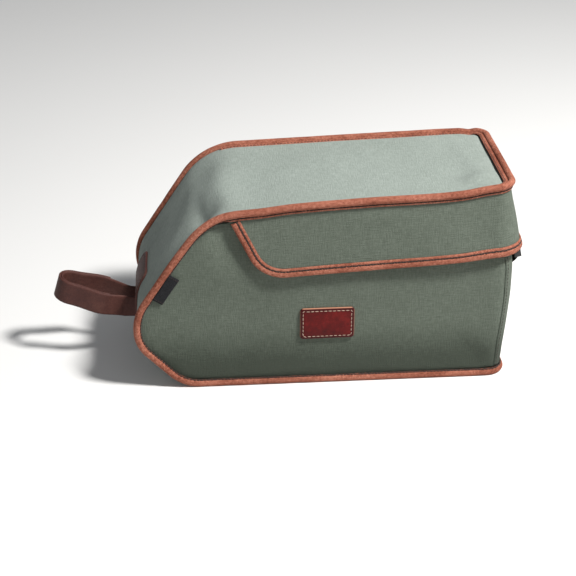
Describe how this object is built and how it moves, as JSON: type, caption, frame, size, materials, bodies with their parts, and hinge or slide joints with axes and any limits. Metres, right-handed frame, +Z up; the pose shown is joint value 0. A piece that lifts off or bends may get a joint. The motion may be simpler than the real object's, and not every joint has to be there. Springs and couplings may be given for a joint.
{
  "type": "bicycle trunk bag",
  "caption": "Canvas bicycle trunk bag with piped seams, a deep lid skirt, a leather patch, a rear buckle and a seat-post strap loop.",
  "frame": {"origin": "bottom centre of the whole bag's bounding box, on the surface it stands on", "axes": "+X towards the bag's rear with the buckle, -X towards the seat-post strap, +Z up, -Y the side with the leather patch"},
  "size_m": [0.4924, 0.1856, 0.2113],
  "materials": {
    "sage_canvas": "woven canvas, matte",
    "tan_trim": "textured tan imitation leather",
    "patch_leather": "polished red-brown leather",
    "strap_leather": "dark brown leather, black inside",
    "black_webbing": "woven webbing, matte",
    "black_plastic": "moulded"
  },
  "bodies": {
    "root": {"front_top_panel": "sage_canvas", "bottom_panel": "sage_canvas", "side_panel_left": "sage_canvas", "side_panel_right": "sage_canvas", "rear_panel": "sage_canvas", "lid_skirt": "sage_canvas", "edge_piping": "tan_trim", "lid_binding": "tan_trim", "side_patch": "patch_leather", "side_tab": "black_webbing", "strap_anchor": "strap_leather", "strap_outer": "strap_leather", "strap_inner": "strap_leather", "webbing_upper": "black_webbing", "webbing_lower": "black_webbing", "buckle_male": "black_plastic", "buckle_female": "black_plastic"}
  },
  "joints": []
}
